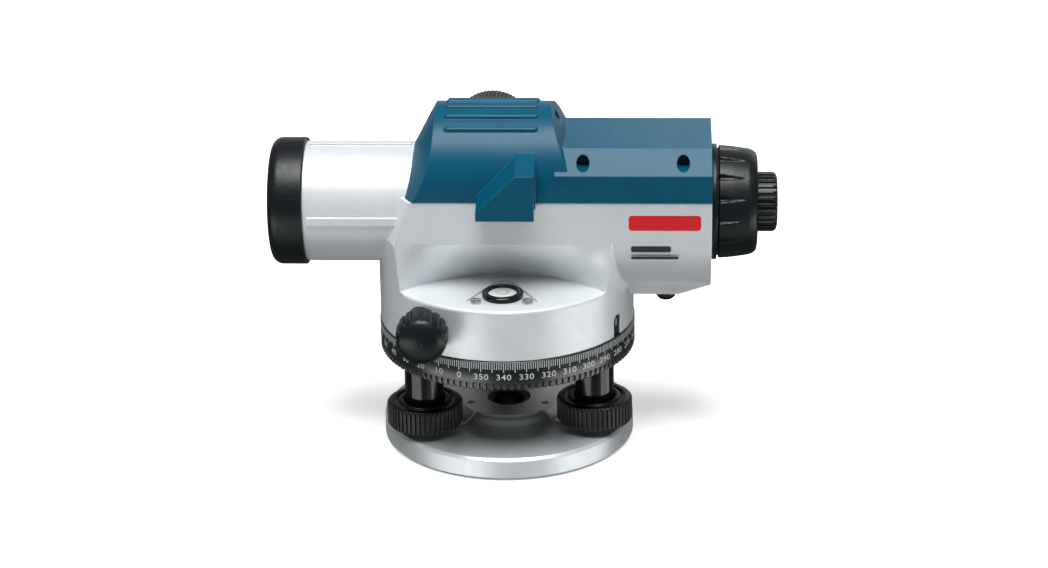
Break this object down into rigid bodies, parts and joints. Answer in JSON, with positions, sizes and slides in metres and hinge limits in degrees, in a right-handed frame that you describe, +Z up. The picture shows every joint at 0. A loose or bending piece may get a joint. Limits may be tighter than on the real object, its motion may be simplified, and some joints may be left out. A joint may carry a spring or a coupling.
{
  "type": "automatic level",
  "caption": "Automatic level: telescope with compensator on a graduated horizontal circle, a three-screw levelling head and a round tripod base plate.",
  "frame": {"origin": "centre of the tripod thread in the base plate's flat underside", "axes": "+Z up along the vertical axis, +X towards the eyepiece, -Y towards the side with the circular level"},
  "size_m": [0.215, 0.135, 0.1508],
  "materials": {
    "silver_casting": "satin painted",
    "cover_plastic": "satin moulded",
    "black_plastic": "fine grained",
    "glossy_black": "glossy",
    "circle_black": "black anodised with white graduation",
    "spring_sheet": "rolled sheet",
    "steel": "ground",
    "dark_steel": "blackened",
    "brass": "turned",
    "black_alloy": "black anodised",
    "alloy": "machined",
    "optical_glass": "polished and coated",
    "vial_glass": "polished",
    "magnet": "plated"
  },
  "bodies": {
    "base": {"base_plate": "silver_casting", "foot_spring_plate": "spring_sheet", "spring_plate_rivets": "dark_steel"},
    "rocker": {"rear_ball_seat": "brass"},
    "levelling_head": {"tribrach_plate": "black_alloy", "foot_sleeves": "glossy_black", "foot_nuts": "brass", "spindle_socket": "steel"},
    "circle": {"horizontal_circle": "circle_black"},
    "worm_wheel": {"worm_wheel": "brass"},
    "alidade": {"main_housing": "silver_casting", "index_block": "black_plastic", "spindle": "steel", "spindle_nut": "steel", "spindle_screws": "steel", "top_cover": "cover_plastic", "cover_screws": "dark_steel", "cover_bracket": "spring_sheet", "level_prism": "optical_glass", "level_holder": "silver_casting", "level_ring": "black_plastic", "level_vial": "vial_glass", "level_screws": "steel", "objective_bezel": "black_plastic", "objective_cell": "black_alloy", "objective_lenses": "optical_glass", "focus_guide_rods": "steel", "focus_bush": "brass", "compensator_frame": "alloy", "fixed_prisms": "optical_glass", "damper_magnet": "magnet", "rear_tube": "black_alloy", "reticle_cell": "brass", "reticle_glass": "optical_glass", "reticle_screws": "steel", "eyepiece_cover": "black_plastic", "drive_bushes": "black_plastic", "button_spring": "steel"},
    "drive": {"drive_shaft": "steel", "drive_knobs": "black_plastic"},
    "focus_drive": {"focus_shaft": "steel", "focus_knob": "black_plastic"},
    "focus_unit": {"focus_carriage": "brass", "focus_lens": "optical_glass"},
    "pendulum": {"pendulum_block": "brass", "pendulum_prism": "optical_glass", "suspension_wires": "steel"},
    "eyepiece": {"eyepiece_barrel": "black_alloy", "eyepiece_lenses": "optical_glass"},
    "dioptre": {"dioptre_ring": "black_plastic"},
    "check_button": {"check_button": "black_plastic"},
    "foot_left": {"foot_cup_left": "brass"},
    "screw_left": {"foot_screw_left": "steel", "foot_knob_left": "black_plastic"},
    "foot_right": {"foot_cup_right": "brass"},
    "screw_right": {"foot_screw_right": "steel", "foot_knob_right": "black_plastic"},
    "foot_rear": {"foot_cup_rear": "brass"},
    "screw_rear": {"foot_screw_rear": "steel", "foot_knob_rear": "black_plastic"}
  },
  "joints": [
    {"name": "level_sideways", "type": "hinge", "parent": "base", "child": "rocker", "pos_m": [0, 0, 0.006], "axis": [-0.0698, 0.9976, 0], "range_deg": [-2.49, 2.49]},
    {"name": "level_fore_aft", "type": "hinge", "parent": "rocker", "child": "levelling_head", "pos_m": [0.00147, -0.02105, 0.006], "axis": [0.9976, 0.0698, 0], "range_deg": [-2.48, 2.48]},
    {"name": "foot_slide_left", "type": "slide", "parent": "levelling_head", "child": "foot_left", "axis": [0, 0, 1], "range_m": [-0.0018, 0.0018]},
    {"name": "foot_turn_left", "type": "hinge", "parent": "foot_left", "child": "screw_left", "pos_m": [-0.03499, -0.0236, 0.006], "axis": [0, 0, 1], "range_deg": [-822, 822]},
    {"name": "foot_slide_right", "type": "slide", "parent": "levelling_head", "child": "foot_right", "axis": [0, 0, 1], "range_m": [-0.0018, 0.0018]},
    {"name": "foot_turn_right", "type": "hinge", "parent": "foot_right", "child": "screw_right", "pos_m": [0.03793, -0.0185, 0.006], "axis": [0, 0, 1], "range_deg": [-822, 822]},
    {"name": "foot_slide_rear", "type": "slide", "parent": "levelling_head", "child": "foot_rear", "axis": [0, 0, 1], "range_m": [-0.003, 0.003]},
    {"name": "foot_turn_rear", "type": "hinge", "parent": "foot_rear", "child": "screw_rear", "pos_m": [-0.00294, 0.0421, 0.006], "axis": [0, 0, 1], "range_deg": [-1416, 1416]},
    {"name": "circle_turn", "type": "hinge", "parent": "levelling_head", "child": "circle", "pos_m": [0, 0, 0.05], "axis": [0, 0, 1], "continuous": true},
    {"name": "hand_turn", "type": "hinge", "parent": "levelling_head", "child": "worm_wheel", "pos_m": [0, 0, 0.067], "axis": [0, 0, 1], "continuous": true},
    {"name": "fine_turn", "type": "hinge", "parent": "worm_wheel", "child": "alidade", "pos_m": [0, 0, 0.067], "axis": [0, 0, 1], "continuous": true},
    {"name": "drive_turn", "type": "hinge", "parent": "alidade", "child": "drive", "pos_m": [-0.0325, 0, 0.068], "axis": [0, 1, 0], "continuous": true},
    {"name": "focus_turn", "type": "hinge", "parent": "alidade", "child": "focus_drive", "pos_m": [-0.0075, 0.03, 0.1225], "axis": [0, 1, 0], "range_deg": [-275, 275]},
    {"name": "focus_slide", "type": "slide", "parent": "alidade", "child": "focus_unit", "axis": [1, 0, 0], "range_m": [-0.01198, 0.01198]},
    {"name": "compensator_swing", "type": "hinge", "parent": "alidade", "child": "pendulum", "pos_m": [0.036, 0, 0.118], "axis": [0, 1, 0], "range_deg": [-0.25, 0.25]},
    {"name": "eyepiece_slide", "type": "slide", "parent": "alidade", "child": "eyepiece", "axis": [1, 0, 0], "range_m": [-0.00149, 0.00149]},
    {"name": "dioptre_turn", "type": "hinge", "parent": "eyepiece", "child": "dioptre", "pos_m": [0.11, 0, 0.1063], "axis": [1, 0, 0], "range_deg": [-180, 180]},
    {"name": "check_press", "type": "slide", "parent": "alidade", "child": "check_button", "axis": [0, 0, 1], "range_m": [0, 0.002], "stiffness_N_per_m": 250, "springref_m": -0.001, "deforming": ["button_spring"]}
  ],
  "couplings": [
    {"joint": "foot_turn_right", "follows": "level_sideways", "ratio": 328.04},
    {"joint": "foot_slide_right", "follows": "level_sideways", "m_per_rad": 0.036546},
    {"joint": "foot_slide_left", "follows": "level_sideways", "m_per_rad": -0.036546},
    {"joint": "foot_turn_left", "follows": "level_sideways", "ratio": -328.04},
    {"joint": "foot_turn_rear", "follows": "level_fore_aft", "ratio": -568.18},
    {"joint": "foot_slide_rear", "follows": "level_fore_aft", "m_per_rad": -0.0633},
    {"joint": "fine_turn", "follows": "drive_turn", "ratio": 0.0086207},
    {"joint": "focus_turn", "follows": "focus_slide", "rad_per_m": -400},
    {"joint": "dioptre_turn", "follows": "eyepiece_slide", "rad_per_m": 2094.4}
  ]
}
